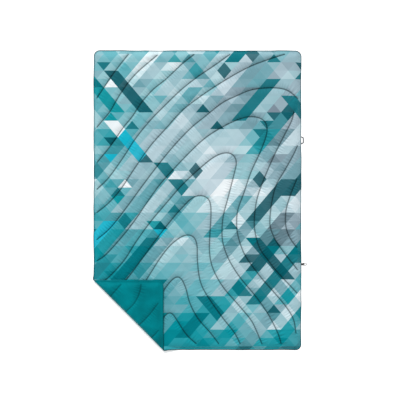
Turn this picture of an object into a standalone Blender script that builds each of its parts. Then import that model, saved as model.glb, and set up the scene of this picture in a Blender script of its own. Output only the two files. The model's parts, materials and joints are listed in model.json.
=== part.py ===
"""Quilted camp blanket with one corner turned over, and a webbing loop and sprung clip on one long edge.

Metres, +Z up. The origin is the middle of the underside. +Y runs to the head end, +X to the clip edge.
"""
import math

import bmesh
import bpy
import numpy as np
from mathutils import Matrix, Vector
from mathutils.geometry import delaunay_2d_cdt

# Cloth, laid flat
WIDTH = 1.321
LENGTH = 1.905
CORNER_RADIUS = 0.038
CLOTH = 0.0006
SEAT_GAP = 0.0003

# Quilted loft
CREST = 0.0245
SEAM_HEIGHT = 0.006
PUFF_HALF = 0.047
HEM_WIDTH = 0.012
HEM_EASE = 0.001
FIELD_STEP = 0.058
FIELD_CLEAR = 0.024
EDGE_STEP = 0.11

# Corner turned over onto the face
FOLD_LEG = 0.445
FOLD_GAP = 0.0005
FOLD_TAPER = 0.055
FOLD_LIFT = 0.014

# Sewing thread
THREAD_RADIUS = 0.0004
TOPSTITCH_INSET = 0.006
ROUTE_STEP = 0.075
ROUTE_TURN = math.radians(18)
FOLD_STITCH_STOP = 0.006

# Webbing loop on the clip edge
LOOP_Y = 0.381
LOOP_LENGTH = 0.050
LOOP_TIP = 0.036
LOOP_REACH = 0.016
LOOP_BAND = 0.007
LOOP_THICK = 0.0015
LOOP_HINGE = 0.0012

# Webbing strap that carries the clip
CLIP_Y = -0.407
STRAP_WIDTH = 0.010
STRAP_PLY = 0.0011
STRAP_HINGE = 0.0017
STRAP_LIFT = 0.00005
TAIL_CLEAR = 0.0012

# Moulded clip
CLIP_REACH = 0.036
CLIP_WIDTH = 0.015
CLIP_THICK = 0.0046
ROD_RADIUS = 0.0016
BAR_REACH = 0.0095
BAR_RADIUS = 0.0012
BAR_CLEAR = 0.0003
SLOT_DEPTH = 0.0024
BLOCK_DEPTH = 0.0052
NOSE_LENGTH = 0.0035
PIN_RADIUS = 0.0006
PIN_CLEAR = 0.00015
GATE_HALF = 0.0011
EAR_THICK = 0.0011
GATE_SWING = math.radians(25)

# Bar tacks across the webbing tails
TACK_LENGTH = 0.008
TACK_WIDTH = 0.002
TACK_THICK = 0.0008
TACK_INSET = 0.003

# The quilting pattern, in millimetres on a cloth of the pattern's own size, from its middle
PATTERN_SIZE = (1321, 1905)
QUILT_ROUTES = [
    [(-440, 925), (-480, 875), (-540, 795), (-600, 705), (-638, 648)],
    [(-255, 922), (-394, 800), (-484, 683), (-553, 566), (-600, 508), (-638, 462)],
    [(-22, 925), (-100, 863), (-200, 768), (-278, 706), (-352, 624), (-415, 529), (-473, 458),
     (-553, 343), (-638, 240)],
    [(205, 925), (100, 850), (0, 782), (-100, 704), (-200, 608), (-300, 506), (-394, 390), (-468, 276),
     (-563, 143), (-638, 68)],
    [(553, 926), (452, 894), (341, 852), (235, 797), (100, 714), (0, 645), (-100, 566), (-200, 455),
     (-300, 343), (-400, 200), (-495, 58), (-574, -28), (-638, -80)],
    [(638, 646), (585, 690), (532, 709), (452, 713), (341, 700), (246, 661), (160, 619), (45, 529),
     (-50, 450), (-161, 332), (-262, 207), (-362, 74), (-452, -49), (-553, -177), (-638, -252)],
    [(627, -845), (611, -757), (563, -678), (484, -583), (400, -487), (302, -350), (257, -224),
     (249, -139), (257, -60), (294, 42), (339, 175), (400, 308), (440, 420), (437, 485), (400, 520),
     (330, 530), (246, 507), (151, 460), (45, 391), (-61, 292), (-161, 186), (-246, 90), (-325, -22),
     (-405, -139), (-489, -245), (-585, -350), (-638, -386)],
    [(532, -912), (510, -842), (447, -721), (368, -609), (267, -487), (198, -375), (164, -282),
     (156, -208), (164, -102), (196, 21), (230, 154), (248, 240), (225, 289), (172, 300), (100, 270),
     (0, 188), (-103, 90), (-200, -22), (-299, -139), (-394, -271), (-468, -386), (-563, -490),
     (-612, -528)],
    [(410, -912), (378, -837), (341, -763), (257, -662), (161, -550), (98, -434), (77, -333),
     (79, -224), (86, -100), (82, -17), (56, 20), (10, 29), (-35, 12), (-98, -49), (-167, -128),
     (-267, -256), (-357, -380), (-447, -500), (-530, -590), (-634, -684)],
    [(272, -912), (235, -842), (156, -742), (56, -598), (16, -508), (0, -386), (-2, -290), (-20, -237),
     (-55, -221), (-100, -232), (-172, -287), (-241, -375), (-320, -500), (-395, -615), (-468, -721),
     (-522, -774), (-591, -806), (-634, -812)],
    [(135, -912), (82, -842), (3, -752), (-50, -650), (-75, -555), (-115, -487), (-170, -515),
     (-250, -625), (-320, -715), (-384, -806), (-448, -868), (-515, -920)],
    [(-8, -912), (-71, -853), (-130, -763), (-167, -714), (-204, -731), (-250, -800), (-304, -884),
     (-345, -922)],
    [(632, -590), (590, -545), (505, -455), (447, -380), (394, -304), (365, -198), (362, -112),
     (378, 5), (420, 127), (489, 287), (558, 423), (600, 507), (612, 560)],
    [(634, -440), (570, -360), (500, -262), (465, -181), (460, -130), (471, -22), (500, 95),
     (553, 186), (611, 292), (636, 345)],
    [(632, -300), (590, -245), (562, -170), (562, -70), (590, 30), (630, 132)],
]
CROSSING_FOLD = (9, 10, 11, 12)

# Worked out from the sizes above
EDGE_X = WIDTH / 2
HEM_THICK = 2 * CLOTH + max(2 * STRAP_PLY, LOOP_THICK) + HEM_EASE
FOLD_SUM = FOLD_LEG - WIDTH / 2 - LENGTH / 2
FOLD_HEIGHT = CREST + SEAT_GAP / 2
CORNER_SINK = (CREST - HEM_THICK) / 2
BAR_HEIGHT = BAR_RADIUS + BAR_CLEAR + STRAP_PLY + STRAP_LIFT


def clear_scene():
    for old in list(bpy.data.objects):
        bpy.data.objects.remove(old, do_unlink=True)


def collection(name):
    made = bpy.data.collections.new(name)
    bpy.context.scene.collection.children.link(made)
    return made


def material(name, colour, roughness, metallic=0.0):
    made = bpy.data.materials.new(name)
    made.use_nodes = True
    shader = made.node_tree.nodes["Principled BSDF"]
    shader.inputs["Base Color"].default_value = (*colour, 1.0)
    shader.inputs["Roughness"].default_value = roughness
    shader.inputs["Metallic"].default_value = metallic
    made.diffuse_color = (*colour, 1.0)
    return made


def add_object(name, data, finish, where=(0, 0, 0), parent=None):
    made = bpy.data.objects.new(name, data)
    made.data.materials.clear()
    made.data.materials.append(finish)
    made.location = where
    made.parent = parent
    PARTS.objects.link(made)
    return made


def from_bmesh(name, bm, finish, where=(0, 0, 0)):
    bmesh.ops.recalc_face_normals(bm, faces=bm.faces)
    mesh = bpy.data.meshes.new(name)
    bm.to_mesh(mesh)
    bm.free()
    return add_object(name, mesh, finish, where)


def smooth_route(points, step=0.004):
    """Dense points on a Catmull-Rom curve through the route's own points."""
    ends = [points[0] * 2 - points[1]] + points + [points[-1] * 2 - points[-2]]
    dense = []
    for a, b, c, d in zip(ends, ends[1:], ends[2:], ends[3:]):
        count = max(2, round((c - b).length / step))
        for k in range(count):
            t = k / count
            dense.append(b + (c - a) * (t / 2) + (a * 2 - b * 5 + c * 4 - d) * (t * t / 2)
                         + (b * 3 - a - c * 3 + d) * (t ** 3 / 2))
    return dense + [points[-1]]


def thin_route(dense):
    """Fewer points: one wherever the curve has run far enough or turned enough."""
    kept = [dense[0]]
    heading = dense[1] - dense[0]
    for previous, point in zip(dense, dense[1:]):
        run = (point - kept[-1]).length
        turn = (point - previous).angle(heading, 0)
        if run >= ROUTE_STEP or (turn >= ROUTE_TURN and run >= 0.02):
            kept.append(point)
            heading = point - previous
    if (dense[-1] - kept[-1]).length < 0.02 and len(kept) > 1:
        kept.pop()
    return kept + [dense[-1]]


def fold_distance(p):
    """How far a point lies from the fold line: positive on the blanket, negative on the corner."""
    return (p[0] + p[1] - FOLD_SUM) / math.sqrt(2)


def edge_distance(p):
    """How far a point lies inside the cloth's rounded edge."""
    qx = abs(p[0]) - (WIDTH / 2 - CORNER_RADIUS)
    qy = abs(p[1]) - (LENGTH / 2 - CORNER_RADIUS)
    outside = math.hypot(max(qx, 0), max(qy, 0))
    return CORNER_RADIUS - outside - min(max(qx, qy), 0)


def quilt_routes(side):
    """The sewn routes on one side of the fold: 1 for the blanket, -1 for the corner."""
    scale = Vector((WIDTH / PATTERN_SIZE[0], LENGTH / PATTERN_SIZE[1]))
    routes = {}
    for number, drawn in enumerate(QUILT_ROUTES, 1):
        if side < 0 and number not in CROSSING_FOLD:
            continue
        dense = smooth_route([Vector((x * scale.x, y * scale.y)) for x, y in drawn])
        dense = [p for p in dense if side * fold_distance(p) > FOLD_STITCH_STOP
                 and edge_distance(p) > HEM_WIDTH + FOLD_STITCH_STOP]
        routes[number] = thin_route(dense)
    return routes


def rounded_outline(inset):
    """The cloth's edge moved in by inset, with points along its straight runs."""
    radius = CORNER_RADIUS - inset
    centre_x = WIDTH / 2 - CORNER_RADIUS
    centre_y = LENGTH / 2 - CORNER_RADIUS
    points = []
    for k, (sx, sy) in enumerate([(1, 1), (-1, 1), (-1, -1), (1, -1)]):
        middle = Vector((sx * centre_x, sy * centre_y))
        for j in range(6):
            angle = math.radians(90 * k + 18 * j)
            points.append(middle + Vector((math.cos(angle), math.sin(angle))) * radius)
        run = 2 * (centre_x if k % 2 == 0 else centre_y)
        along = Vector([(-1, 0), (0, -1), (1, 0), (0, 1)][k])
        count = round(run / EDGE_STEP)
        points += [points[-1] + along * (run * j / count) for j in range(1, count)]
    return points


def open_run(ring, side, stop):
    """The part of a closed ring on one side of the fold, cut off square where it comes within stop."""
    reach = [side * fold_distance(p) - stop for p in ring]
    first = next(k for k in range(len(ring)) if reach[k] > 0 >= reach[k - 1])
    order = [(first + k) % len(ring) for k in range(sum(r > 0 for r in reach))]
    before = first - 1
    after = (order[-1] + 1) % len(ring)
    start = ring[before].lerp(ring[first], reach[before] / (reach[before] - reach[first]))
    end = ring[order[-1]].lerp(ring[after], reach[order[-1]] / (reach[order[-1]] - reach[after]))
    return [start] + [ring[k] for k in order] + [end]


def cut_at_fold(ring, side):
    """The closed outline of the cloth on one side of the fold, with points along its cut."""
    run = open_run(ring, side, FOLD_GAP)
    cut = run[0] - run[-1]
    count = round(cut.length / EDGE_STEP * 2)
    return run + [run[-1] + cut * (k / count) for k in range(1, count)]


def seam_distance(routes):
    """A function that gives the distance from a point to the nearest sewn route."""
    starts = np.array([p for route in routes.values() for p in route[:-1]])
    ends = np.array([p for route in routes.values() for p in route[1:]])
    along = ends - starts
    squared = (along ** 2).sum(axis=1)

    def nearest(p):
        reach = np.array((p[0], p[1])) - starts
        share = np.clip((reach * along).sum(axis=1) / squared, 0, 1)
        return float(np.sqrt(((reach - along * share[:, None]) ** 2).sum(axis=1).min()))
    return nearest


def plan_of(side, routes, nearest):
    """The cloth on one side of the fold as triangles that follow every seam."""
    outline = cut_at_fold(rounded_outline(0), side)
    hem = open_run(rounded_outline(HEM_WIDTH), side, FOLD_GAP)
    coords = outline + hem
    edges = [(len(outline) + k, len(outline) + k + 1) for k in range(len(hem) - 1)]
    for route in routes.values():
        edges += [(len(coords) + k, len(coords) + k + 1) for k in range(len(route) - 1)]
        coords += route
    row = FIELD_STEP * math.sqrt(3) / 2
    for j in range(int(LENGTH / row) + 1):
        for i in range(int(WIDTH / FIELD_STEP) + 1):
            p = Vector(((i + j % 2 / 2) * FIELD_STEP - WIDTH / 2, j * row - LENGTH / 2))
            inside = edge_distance(p) > HEM_WIDTH + FIELD_CLEAR
            if inside and side * fold_distance(p) > FIELD_CLEAR and nearest(p) > FIELD_CLEAR:
                coords.append(p)
    points, _, faces, *_ = delaunay_2d_cdt(coords, edges, [list(range(len(outline)))], 1, 1e-6)
    return points, faces


def crown(share):
    """The rounded rise of a puff, from 0 on its seam to 1 on its crest."""
    share = min(max(share, 0.0), 1.0)
    return math.sqrt(1 - (1 - share) ** 2)


def layer(name, plan, low, high, finish, inside_hem=False):
    """A closed solid between two heights over a plan, over all of it or only inside the hem."""
    points, faces = plan
    bm = bmesh.new()
    verts = [bm.verts.new((p.x, p.y, low(p))) for p in points]
    for face in faces:
        middle = sum((points[i] for i in face), Vector((0, 0))) / 3
        if not inside_hem or edge_distance(middle) > HEM_WIDTH:
            bm.faces.new([verts[i] for i in face])
    bmesh.ops.delete(bm, geom=[v for v in bm.verts if not v.link_faces], context="VERTS")
    raised = bmesh.ops.extrude_face_region(bm, geom=bm.faces[:])["geom"]
    for vert in raised:
        if isinstance(vert, bmesh.types.BMVert):
            vert.co.z = high(vert.co)
    lower = [f for f in bm.faces if all(v.co.z == low(v.co) for v in f.verts)]
    flat = [e for f in lower for e in f.edges if e.calc_face_angle(1) < 1e-5]
    bmesh.ops.dissolve_edges(bm, edges=list(set(flat)), use_verts=False)
    return from_bmesh(name, bm, finish)


def thread(name, points, finish):
    """A sewn thread as a thin tube through the given points."""
    curve = bpy.data.curves.new(name, "CURVE")
    curve.dimensions = "3D"
    curve.bevel_depth = THREAD_RADIUS
    curve.bevel_resolution = 0
    curve.use_fill_caps = True
    spline = curve.splines.new("POLY")
    spline.points.add(len(points) - 1)
    for target, point in zip(spline.points, points):
        target.co = (*point, 1.0)
    return add_object(name, curve, finish)


def flat_piece(name, outline, thick, finish, where, hole=None):
    """A flat outline, extruded to a thickness about its own middle."""
    curve = bpy.data.curves.new(name, "CURVE")
    curve.dimensions = "2D"
    curve.fill_mode = "BOTH"
    curve.extrude = thick / 2
    for ring in [outline] + ([hole] if hole else []):
        spline = curve.splines.new("POLY")
        spline.points.add(len(ring) - 1)
        for target, point in zip(spline.points, ring):
            target.co = (point[0], point[1], 0.0, 1.0)
        spline.use_cyclic_u = True
    return add_object(name, curve, finish, where)


def block(name, size, finish, where, rounding=0.0):
    bm = bmesh.new()
    bmesh.ops.create_cube(bm, size=1.0)
    bmesh.ops.scale(bm, vec=size, verts=bm.verts)
    made = from_bmesh(name, bm, finish, where)
    if rounding:
        bevel = made.modifiers.new("Rounded", "BEVEL")
        bevel.width = rounding
        bevel.segments = 2
    return made


def pin(name, radius, length, finish, where, along="Z", sides=16):
    bm = bmesh.new()
    bmesh.ops.create_cone(bm, cap_ends=True, segments=sides, radius1=radius, radius2=radius, depth=length)
    if along == "Y":
        bmesh.ops.rotate(bm, verts=bm.verts, matrix=Matrix.Rotation(math.pi / 2, 3, "X"))
    made = from_bmesh(name, bm, finish, where)
    made.data.shade_smooth()
    made.data.set_sharp_from_angle(angle=math.radians(35))
    return made


def as_mesh(made):
    """The same object with its curve turned into a welded mesh, so that it can be cut or joined."""
    evaluated = made.evaluated_get(bpy.context.evaluated_depsgraph_get())
    mesh = bpy.data.meshes.new_from_object(evaluated)
    bm = bmesh.new()
    bm.from_mesh(mesh)
    bmesh.ops.remove_doubles(bm, verts=bm.verts, dist=1e-7)
    bmesh.ops.recalc_face_normals(bm, faces=bm.faces)
    bm.to_mesh(mesh)
    bm.free()
    name = made.name
    place = made.matrix_world.copy()
    bpy.data.objects.remove(made, do_unlink=True)
    welded = add_object(name, mesh, mesh.materials[0])
    welded.matrix_world = place
    return welded


def as_tool(made):
    """Move an object among the cutters."""
    PARTS.objects.unlink(made)
    TOOLS.objects.link(made)
    made.hide_render = True
    made.display_type = "WIRE"
    return made


def boolean(made, operation, tool):
    step = made.modifiers.new(operation.title(), "BOOLEAN")
    step.operation = operation
    step.solver = "EXACT"
    step.object = as_tool(tool)


def make_blanket():
    """The quilted cloth that lies on the ground, with its threads."""
    routes = quilt_routes(1)
    nearest = seam_distance(routes)
    plan = plan_of(1, routes, nearest)

    def face_height(p):
        hem = HEM_THICK + (CREST - HEM_THICK) * crown((edge_distance(p) - HEM_WIDTH) / PUFF_HALF)
        seam = SEAM_HEIGHT + (CREST - SEAM_HEIGHT) * crown(nearest(p) / PUFF_HALF)
        return min(hem, seam)

    layer("face_shell", plan, lambda p: face_height(p) - CLOTH, face_height, FACE)
    layer("batting", plan, lambda p: CLOTH + SEAT_GAP, lambda p: face_height(p) - CLOTH - SEAT_GAP,
          FIBRE, inside_hem=True)
    back = cut_at_fold(rounded_outline(0), 1)
    flat_piece("back_shell", back, CLOTH, BACK, (0, 0, CLOTH / 2))
    lift = SEAT_GAP + THREAD_RADIUS
    for number, route in routes.items():
        thread(f"quilt_stitch_{number:02d}", [(p.x, p.y, face_height(p) + lift) for p in route], SEWING)
    stitched = open_run(rounded_outline(TOPSTITCH_INSET), 1, FOLD_STITCH_STOP)
    thread("hem_topstitch", [(p.x, p.y, HEM_THICK + lift) for p in stitched], SEWING)


def make_corner():
    """The corner that folds over: built lying open, then turned over about the fold line."""
    routes = quilt_routes(-1)
    nearest = seam_distance(routes)
    plan = plan_of(-1, routes, nearest)

    def sink(p):
        hem = crown((edge_distance(p) - HEM_WIDTH) / PUFF_HALF)
        return CORNER_SINK * (1 - min(hem, crown(nearest(p) / PUFF_HALF)))

    def face_height(p):
        return CREST - sink(p)

    def back_height(p):
        taper = FOLD_LIFT * (1 - crown(-fold_distance(p) / FOLD_TAPER))
        return min(sink(p) + taper, face_height(p) - HEM_THICK)

    made = [
        layer("corner_face_shell", plan, lambda p: face_height(p) - CLOTH, face_height, FACE),
        layer("corner_batting", plan, lambda p: back_height(p) + CLOTH + SEAT_GAP,
              lambda p: face_height(p) - CLOTH - SEAT_GAP, FIBRE, inside_hem=True),
        layer("corner_back_shell", plan, back_height, lambda p: back_height(p) + CLOTH, BACK),
    ]
    drop = SEAT_GAP + THREAD_RADIUS
    for number, route in routes.items():
        made.append(thread(f"corner_quilt_stitch_{number:02d}",
                           [(p.x, p.y, back_height(p) - drop) for p in route], SEWING))
    stitched = open_run(rounded_outline(TOPSTITCH_INSET), -1, FOLD_STITCH_STOP)
    made.append(thread("corner_hem_topstitch", [(p.x, p.y, back_height(p) - drop) for p in stitched], SEWING))

    hinge = bpy.data.objects.new("corner_hinge", None)
    PARTS.objects.link(hinge)
    middle = Vector((FOLD_LEG / 2 - WIDTH / 2, FOLD_LEG / 2 - LENGTH / 2, FOLD_HEIGHT))
    axis = Vector((1, -1, 0)).normalized()
    for piece in made:
        piece.parent = hinge
        piece.matrix_parent_inverse = Matrix.Translation(-middle)
    hinge.matrix_world = Matrix.Translation(middle) @ Matrix.Rotation(-math.pi, 4, axis)


def tail(name, y, width, thick, finish):
    """A webbing end held inside the hem, between the two cloths."""
    depth = HEM_WIDTH - TAIL_CLEAR - SEAT_GAP
    where = (EDGE_X - depth / 2 - SEAT_GAP, y, CLOTH + SEAT_GAP + thick / 2)
    block(name, (depth, width, thick), finish, where)


def bar_tack(name, y):
    height = HEM_THICK + SEAT_GAP + TACK_THICK / 2
    block(name, (TACK_WIDTH, TACK_LENGTH, TACK_THICK), SEWING, (EDGE_X - TACK_INSET, y, height), 0.0003)


def make_loop():
    """A flat webbing strip, mitred at two corners, that stands out from the hem."""
    start = SEAT_GAP * 2 - LOOP_HINGE
    outer = LOOP_REACH - LOOP_HINGE
    inner = outer - LOOP_BAND
    lean = (LOOP_LENGTH - LOOP_TIP) / 2
    half = LOOP_LENGTH / 2
    notch = half - LOOP_BAND
    shape = [(start, -half), (outer, lean - half), (outer, half - lean), (start, half),
             (start, notch), (inner, notch - lean * inner / outer), (inner, lean * inner / outer - notch),
             (start, -notch)]
    height = CLOTH + SEAT_GAP + LOOP_THICK / 2
    flat_piece("loop_webbing", shape, LOOP_THICK, WEBBING, (EDGE_X + LOOP_HINGE, LOOP_Y, height))
    for name, side in (("upper", 1), ("lower", -1)):
        y = LOOP_Y + side * (half - LOOP_BAND / 2)
        tail(f"loop_tail_{name}", y, LOOP_BAND, LOOP_THICK, WEBBING)
        bar_tack(f"bartack_loop_{name}", y)


def make_strap():
    """Doubled webbing that runs out of the hem, round the clip's bar and back."""
    inner = BAR_RADIUS + BAR_CLEAR
    outer = inner + STRAP_PLY
    reach = BAR_REACH - STRAP_HINGE
    start = SEAT_GAP * 2 - STRAP_HINGE
    lead = outer * 1.6
    arc = [math.radians(a) for a in range(-90, 91, 15)]
    ring = [(start, -STRAP_PLY), (reach - lead, -STRAP_PLY)]
    ring += [(reach + outer * math.cos(a), outer * math.sin(a)) for a in arc]
    ring += [(reach - lead, STRAP_PLY), (start, STRAP_PLY)]
    hole = [(reach - lead, 0.0)]
    hole += [(reach + inner * math.cos(a), inner * math.sin(a)) for a in arc]
    place = (EDGE_X + STRAP_HINGE, CLIP_Y, BAR_HEIGHT)
    made = flat_piece("strap_webbing", ring, STRAP_WIDTH, WEBBING, place, hole)
    made.rotation_euler = (math.pi / 2, 0, 0)
    tail("clip_tail", CLIP_Y, STRAP_WIDTH, 2 * STRAP_PLY, WEBBING)
    bar_tack("bartack_clip", CLIP_Y)


def make_clip():
    """A moulded hook on a bar, with a sprung gate on a pin."""
    bar = Vector((EDGE_X + BAR_REACH, CLIP_Y, BAR_HEIGHT))
    slot_end = BAR_RADIUS + SLOT_DEPTH
    block_end = slot_end + BLOCK_DEPTH
    half = CLIP_WIDTH / 2
    lug = half - STRAP_WIDTH / 2 - 2 * BAR_CLEAR
    rail = half - ROD_RADIUS
    tip = EDGE_X + CLIP_REACH - bar.x
    pivot = Vector((slot_end + BLOCK_DEPTH * 0.55, rail, 0))
    nose = tip - ROD_RADIUS - rail - NOSE_LENGTH

    body = block("clip_body", (BLOCK_DEPTH, CLIP_WIDTH, CLIP_THICK), ACETAL,
                 bar + Vector((slot_end + BLOCK_DEPTH / 2, 0, 0)), 0.0005)
    for side in (-1, 1):
        length = slot_end + BLOCK_DEPTH / 2 + BAR_RADIUS + lug / 2
        middle = Vector((length / 2 - BAR_RADIUS - lug / 2, side * (half - lug / 2), 0))
        boolean(body, "UNION", block(f"lug_{side}", (length, lug, CLIP_THICK), ACETAL, bar + middle, 0.0004))
    boolean(body, "UNION", pin("bar", BAR_RADIUS, CLIP_WIDTH - lug, ACETAL, bar, "Y"))

    bow = [Vector((tip - ROD_RADIUS - rail + rail * math.sin(a), -rail * math.cos(a), 0))
           for a in (math.radians(15 * k) for k in range(13))]
    path = [Vector((slot_end + 0.001, -rail, 0))] + bow + [Vector((nose, rail, 0))]
    rod = thread("hook_rod", [bar + p for p in path], ACETAL)
    rod.data.bevel_depth = ROD_RADIUS
    rod.data.bevel_resolution = 3
    boolean(body, "UNION", as_mesh(rod))

    slot_half = CLIP_THICK / 2 - EAR_THICK
    knuckle = ROD_RADIUS
    behind = knuckle + SEAT_GAP
    inward = GATE_HALF / math.cos(GATE_SWING) + (block_end - pivot.x) * math.tan(GATE_SWING) + SEAT_GAP
    notch_size = 2 * CLIP_WIDTH
    notch = bar + pivot + Vector((notch_size / 2 - behind, notch_size / 2 - inward, 0))
    slot_size = (notch_size, notch_size, 2 * slot_half)
    boolean(body, "DIFFERENCE", block("gate_slot", slot_size, ACETAL, notch))
    bore = PIN_RADIUS + PIN_CLEAR
    boolean(body, "DIFFERENCE", pin("pin_bore", bore, CLIP_THICK * 2, ACETAL, bar + pivot))

    pin("gate_pin", PIN_RADIUS, CLIP_THICK, STEEL, bar + pivot)

    thick = 2 * (slot_half - SEAT_GAP)
    gate = pin("clip_gate", knuckle, thick, ACETAL, bar + pivot, sides=20)
    length = nose - SEAT_GAP - pivot.x
    boolean(gate, "UNION", block("gate_arm", (length, 2 * GATE_HALF, thick), ACETAL,
                                 bar + pivot + Vector((length / 2, 0, 0))))
    boolean(gate, "DIFFERENCE", pin("gate_bore", bore, CLIP_THICK * 2, ACETAL, bar + pivot))


clear_scene()
PARTS = collection("camp_blanket")
TOOLS = collection("cutters")
FACE = material("printed_ripstop", (0.20, 0.42, 0.46), 0.55)
BACK = material("teal_ripstop", (0.0, 0.17, 0.20), 0.50)
FIBRE = material("polyester_batting", (0.86, 0.87, 0.86), 0.95)
SEWING = material("polyester_thread", (0.03, 0.11, 0.13), 0.70)
WEBBING = material("grey_webbing", (0.10, 0.11, 0.12), 0.80)
ACETAL = material("black_acetal", (0.015, 0.015, 0.016), 0.40)
STEEL = material("steel_pin", (0.55, 0.55, 0.56), 0.30, 1.0)
make_blanket()
make_corner()
make_loop()
make_strap()
make_clip()
bpy.context.view_layer.update()
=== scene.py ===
# Quilted camp blanket: printed ripstop face, plain back, one corner turned over, webbing loop and clip
import json
import math

import bmesh
import bpy
import numpy as np
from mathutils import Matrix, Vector
from mathutils.geometry import delaunay_2d_cdt
from mathutils.kdtree import KDTree


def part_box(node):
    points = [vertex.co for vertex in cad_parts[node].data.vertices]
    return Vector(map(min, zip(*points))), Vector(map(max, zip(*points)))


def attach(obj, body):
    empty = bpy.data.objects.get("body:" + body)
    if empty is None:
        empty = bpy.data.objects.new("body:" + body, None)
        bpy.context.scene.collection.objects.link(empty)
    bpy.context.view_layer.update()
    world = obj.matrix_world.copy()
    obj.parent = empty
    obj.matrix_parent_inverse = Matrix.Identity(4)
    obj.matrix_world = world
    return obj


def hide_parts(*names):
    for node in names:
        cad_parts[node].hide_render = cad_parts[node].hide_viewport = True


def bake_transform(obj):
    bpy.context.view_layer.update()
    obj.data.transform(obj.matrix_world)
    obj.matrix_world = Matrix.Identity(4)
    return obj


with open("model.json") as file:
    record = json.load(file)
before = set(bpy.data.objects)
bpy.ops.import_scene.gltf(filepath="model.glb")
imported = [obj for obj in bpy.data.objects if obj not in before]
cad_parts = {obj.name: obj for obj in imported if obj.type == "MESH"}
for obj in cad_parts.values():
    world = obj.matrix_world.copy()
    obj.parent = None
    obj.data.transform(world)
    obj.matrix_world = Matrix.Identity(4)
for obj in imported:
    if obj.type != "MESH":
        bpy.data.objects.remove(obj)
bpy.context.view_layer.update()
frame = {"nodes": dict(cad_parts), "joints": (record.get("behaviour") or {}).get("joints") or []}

joints = {joint["name"]: joint for joint in frame["joints"]}

# Sizes read from the frame
backLow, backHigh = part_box("back_shell")
halfWidth = (backHigh.x - backLow.x) / 2
halfLength = (backHigh.y - backLow.y) / 2
wrinkleRoom = 0.0022
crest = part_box("face_shell")[1].z - wrinkleRoom      # the wrinkles' tops reach the face's own height
foldPlace = Vector(joints["corner_fold"]["pos_m"])
foldSum = foldPlace.x + foldPlace.y      # the fold line is x + y = foldSum
foldHeight = foldPlace.z

cloth = {
    "cornerRadius": 0.038,
    "hemWidth": 0.012,
    "hemThick": 0.0044,
    "seamHeight": 0.0085,
    "puffHalf": 0.047,       # how far from a seam the puff is still rising
    "puffPower": 0.66,       # below 1 the puff is steep at its seam
    "backValley": 0.0022,    # the back is nearly flat where it lies on the ground
    "cornerSink": 0.0095,    # the turned corner puffs both ways
    "cornerHem": 0.0075,
    "foldReach": 0.020,      # cloth on each side of the fold that goes round it
    "foldBulge": 0.0003,     # the back passes this far outside the face's crease
    "foldEase": 0.016,
    "hemEase": 0.085,
    "faceGap": 0.00035,      # between the blanket and the corner lying on it
    "wrinkle": 0.0042,
    "wrinkleSpacing": 0.0160,
    "wrinkleReach": 0.045,
    "gatherMiddle": (0.03, 0.62),    # the seams draw the cloth up most round here
    "gatherReach": 0.34,
    "wrinkleStart": 0.006,   # wrinkles are at full height this far from their seam
    "softness": 0.0016,
    "pucker": 0.0005,        # small waves along the hem
    "stitchDip": 0.0007,     # how deep the hem's stitches pull, how far in, and how wide
    "stitchInset": 0.0065,
    "stitchSpread": 0.0012,
    "capReach": 0.004,       # the face drops by faceGap over this distance from the fold
    "capEase": 0.0001,       # how softly the face bends under its cap: at the fold, then further out
    "capEaseFar": 0.0007,
    "capEaseReach": 0.03,
    "thinnest": 0.0012,      # face to back
    "rimReach": 0.0025,      # the two cloths close over this distance from the edge
    "rimGap": 0.00012,
    "edgeWander": 0.0016,
    "wanderReach": 0.06,
}

plan = {
    "seamRows": (0.0026, 0.006, 0.0105, 0.017, 0.025, 0.035),
    "seamStep": 0.0046,
    "hemRows": (0.0008, 0.0025, 0.005, 0.0075, 0.0115, 0.0145, 0.019, 0.026),
    "hemStep": 0.006,
    "foldRows": (0.0, 0.002, 0.0045, 0.0075, 0.0105, 0.0138, 0.017, 0.021),
    "foldStep": 0.0052,
    "fillStep": 0.0092,
    "nearest": 0.0024,
    "drawStep": 0.004,       # between the points of a route while it is smoothed
    "relaxings": 30,
    "runStep": 0.0015,       # between the points of a finished route
    "hemClear": 0.006,       # routes stop this far inside the hem
}

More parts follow.
